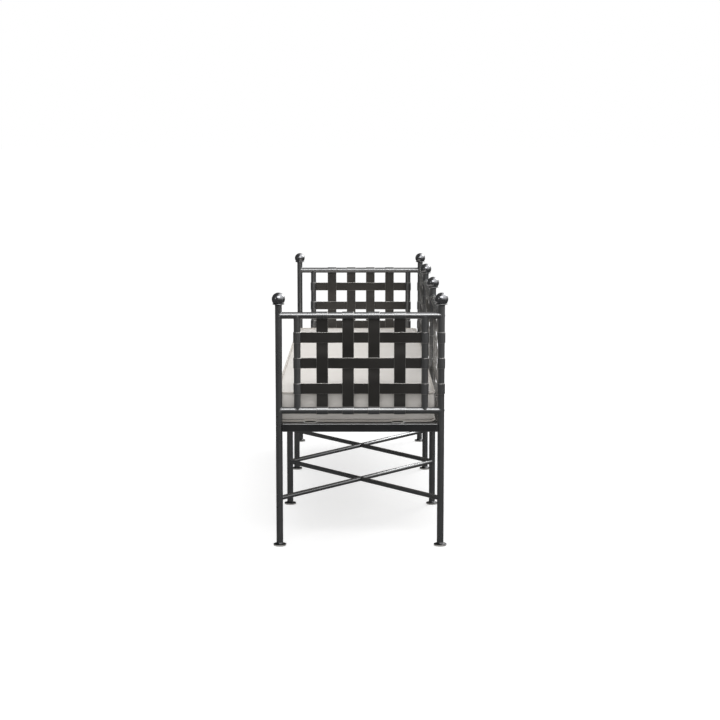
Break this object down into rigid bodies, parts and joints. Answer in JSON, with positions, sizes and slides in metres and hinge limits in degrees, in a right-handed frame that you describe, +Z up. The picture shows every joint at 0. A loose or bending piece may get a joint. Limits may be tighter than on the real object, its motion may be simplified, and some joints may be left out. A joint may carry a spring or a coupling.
{
  "type": "daybed",
  "caption": "Metal garden daybed with woven flat-strap arms and back, ball finials, crossed stretchers and a long box cushion.",
  "frame": {"origin": "on the floor under the middle of the bed", "axes": "+X along the length, +Y towards the back, -Y the open front, +Z up"},
  "size_m": [1.978, 0.5732, 0.8388],
  "materials": {
    "frame_metal": "dark charcoal powder coat, semi-gloss",
    "strap_metal": "dark charcoal powder coat, satin",
    "finial_metal": "black, semi-gloss",
    "foot_metal": "dark charcoal powder coat, semi-gloss",
    "cushion_fabric": "off-white ribbed outdoor fabric with piped edges"
  },
  "bodies": {
    "root": {"post_front_left": "frame_metal", "leg_front_mid_left": "frame_metal", "leg_front_mid_right": "frame_metal", "post_front_right": "frame_metal", "post_rear_left": "frame_metal", "post_rear_mid_left": "frame_metal", "post_rear_mid_right": "frame_metal", "post_rear_right": "frame_metal", "foot_front_left": "foot_metal", "foot_front_mid_left": "foot_metal", "foot_front_mid_right": "foot_metal", "foot_front_right": "foot_metal", "foot_rear_left": "foot_metal", "foot_rear_mid_left": "foot_metal", "foot_rear_mid_right": "foot_metal", "foot_rear_right": "foot_metal", "finial_front_left": "finial_metal", "finial_front_right": "finial_metal", "finial_rear_left": "finial_metal", "finial_rear_mid_left": "finial_metal", "finial_rear_mid_right": "finial_metal", "finial_rear_right": "finial_metal", "arm_left_top_rail": "frame_metal", "arm_left_lower_rail": "frame_metal", "arm_left_upright_front": "frame_metal", "arm_left_upright_rear": "frame_metal", "arm_left_vertical_strap_1": "strap_metal", "arm_left_vertical_strap_2": "strap_metal", "arm_left_vertical_strap_3": "strap_metal", "arm_left_vertical_strap_4": "strap_metal", "arm_left_cross_strap_1": "strap_metal", "arm_left_cross_strap_2": "strap_metal", "arm_left_cross_strap_3": "strap_metal", "arm_right_top_rail": "frame_metal", "arm_right_lower_rail": "frame_metal", "arm_right_upright_front": "frame_metal", "arm_right_upright_rear": "frame_metal", "arm_right_vertical_strap_1": "strap_metal", "arm_right_vertical_strap_2": "strap_metal", "arm_right_vertical_strap_3": "strap_metal", "arm_right_vertical_strap_4": "strap_metal", "arm_right_cross_strap_1": "strap_metal", "arm_right_cross_strap_2": "strap_metal", "arm_right_cross_strap_3": "strap_metal", "back_top_rail_left": "frame_metal", "back_lower_rail_left": "frame_metal", "back_top_rail_middle": "frame_metal", "back_lower_rail_middle": "frame_metal", "back_top_rail_right": "frame_metal", "back_lower_rail_right": "frame_metal", "back_strap_lattice": "strap_metal", "seat_rail_front": "frame_metal", "seat_rail_rear": "frame_metal", "seat_rail_right": "frame_metal", "seat_rail_left": "frame_metal", "seat_deck": "strap_metal", "cross_stretcher_left": "frame_metal", "cross_stretcher_middle": "frame_metal", "cross_stretcher_right": "frame_metal", "seat_cushion": "cushion_fabric"}
  },
  "joints": []
}
